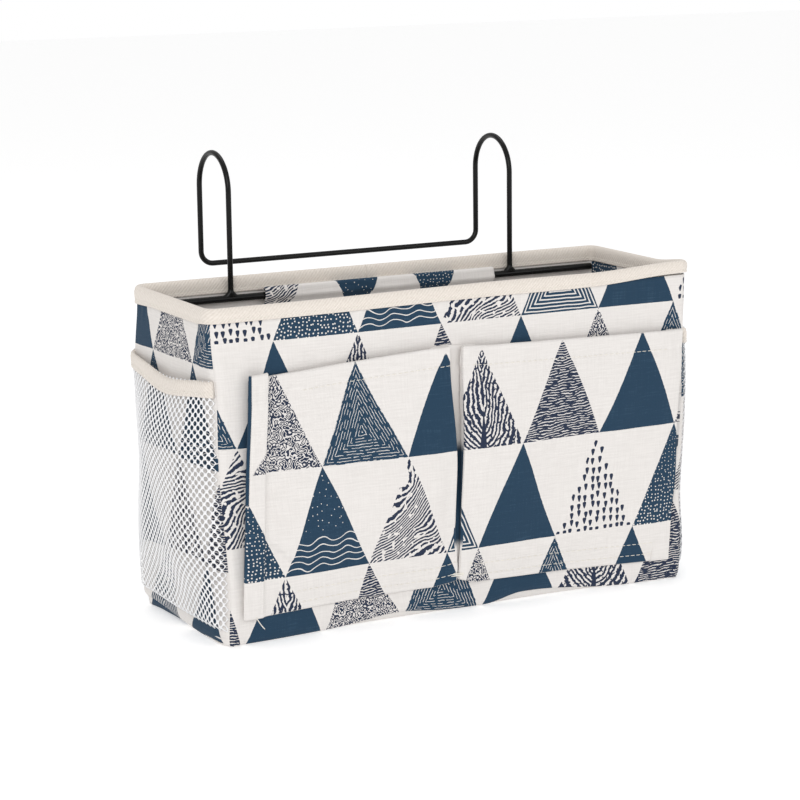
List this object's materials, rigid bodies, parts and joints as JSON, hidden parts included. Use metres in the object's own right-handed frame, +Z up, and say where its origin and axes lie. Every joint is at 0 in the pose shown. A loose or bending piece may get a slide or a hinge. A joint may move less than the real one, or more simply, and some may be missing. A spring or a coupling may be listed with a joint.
{
  "type": "hanging fabric organizer",
  "caption": "Open-topped printed canvas organizer with pleated front pockets, bulging net side pockets and a wire hanger whose hooks go over a bed rail.",
  "frame": {"origin": "middle of the underside of the base", "axes": "+X along the width, -Y towards the front with the two pockets, +Z up towards the hooks"},
  "size_m": [0.3702, 0.1633, 0.2768],
  "materials": {
    "printed_canvas": "plain-weave cotton and linen, off-white with a navy triangle print",
    "plain_lining": "plain off-white weave",
    "twill_tape": "cream cotton twill with diagonal ribs",
    "net": "white knotted diamond net",
    "thread": "off-white sewing thread",
    "hook_and_loop": "white hook-and-loop tape",
    "spring_wire": "bare spring steel",
    "board": "plain brown fibreboard",
    "black_wire": "semi-gloss black coating"
  },
  "bodies": {
    "bag": {"front_panel": "printed_canvas", "back_panel": "printed_canvas", "left_side_panel": "printed_canvas", "right_side_panel": "printed_canvas", "front_lining": "plain_lining", "back_lining": "plain_lining", "left_lining": "printed_canvas", "right_lining": "printed_canvas", "rim_binding": "twill_tape", "rim_wire": "spring_wire", "rim_stitching": "thread", "front_pocket_strip": "printed_canvas", "pocket_stitching": "thread", "left_net_pocket": "net", "right_net_pocket": "net", "left_net_band": "twill_tape", "right_net_band": "twill_tape", "net_band_stitching": "thread", "flap_loop_tape": "hook_and_loop"},
    "base": {"base_panel": "printed_canvas", "base_lining": "plain_lining", "base_board": "board"},
    "hanger": {"hook_wire": "black_wire", "crossbar": "black_wire", "weld_beads": "black_wire"},
    "flap": {"bar_flap": "printed_canvas", "flap_hook_tape": "hook_and_loop", "flap_stitching": "thread"}
  },
  "joints": [
    {"name": "hanger_swing", "type": "hinge", "parent": "bag", "child": "hanger", "pos_m": [0, 0.0505, 0.1871], "axis": [1, 0, 0], "range_deg": [-5, 90]},
    {"name": "flap_open", "type": "hinge", "parent": "bag", "child": "flap", "pos_m": [0, 0.0524, 0.1899], "axis": [-1, 0, 0], "range_deg": [0, 85]},
    {"name": "base_lift", "type": "slide", "parent": "bag", "child": "base", "axis": [0, 0, 1], "range_m": [0, 0.14]}
  ]
}
